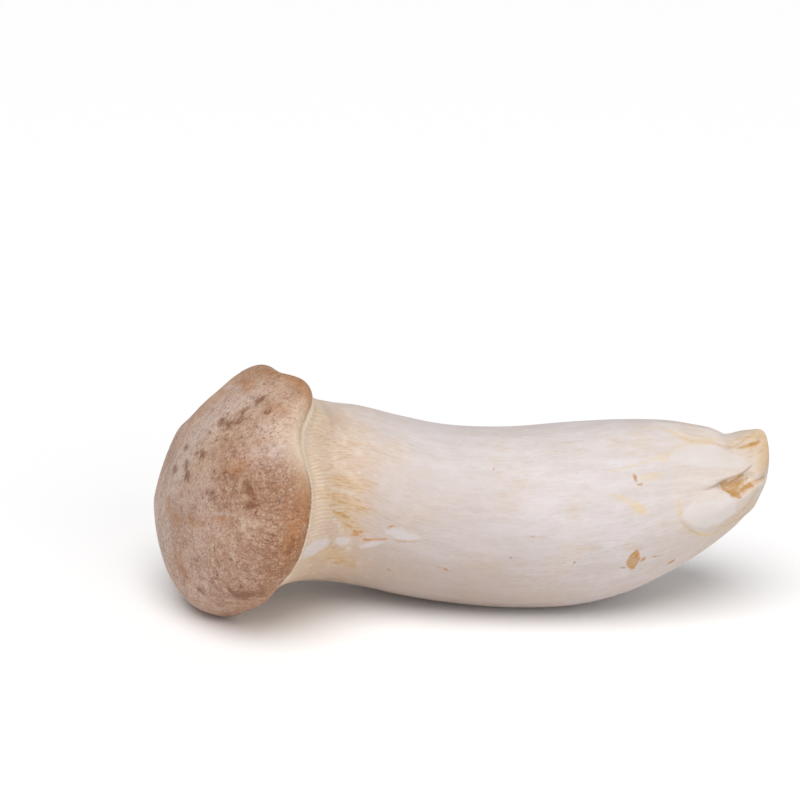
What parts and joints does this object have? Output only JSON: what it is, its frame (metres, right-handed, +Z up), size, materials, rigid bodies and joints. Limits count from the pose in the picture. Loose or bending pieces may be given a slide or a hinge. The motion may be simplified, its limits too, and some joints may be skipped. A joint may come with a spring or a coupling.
{
  "type": "king oyster mushroom",
  "caption": "Whole king oyster mushroom lying on its side, with a thick pale stalk, a small domed tan cap and gills running down the neck.",
  "frame": {"origin": "on the resting surface, under the middle of the box that holds the mushroom", "axes": "+Z up; +X along the stalk from the cap to the cut foot; -Y toward the side that the picture shows"},
  "size_m": [0.1786, 0.0678, 0.0691],
  "materials": {
    "mushroom_flesh": "soft matt cream flesh, with a tan fibrous skin over the cap"
  },
  "bodies": {
    "root": {"king_oyster_mushroom": "mushroom_flesh"}
  },
  "joints": []
}
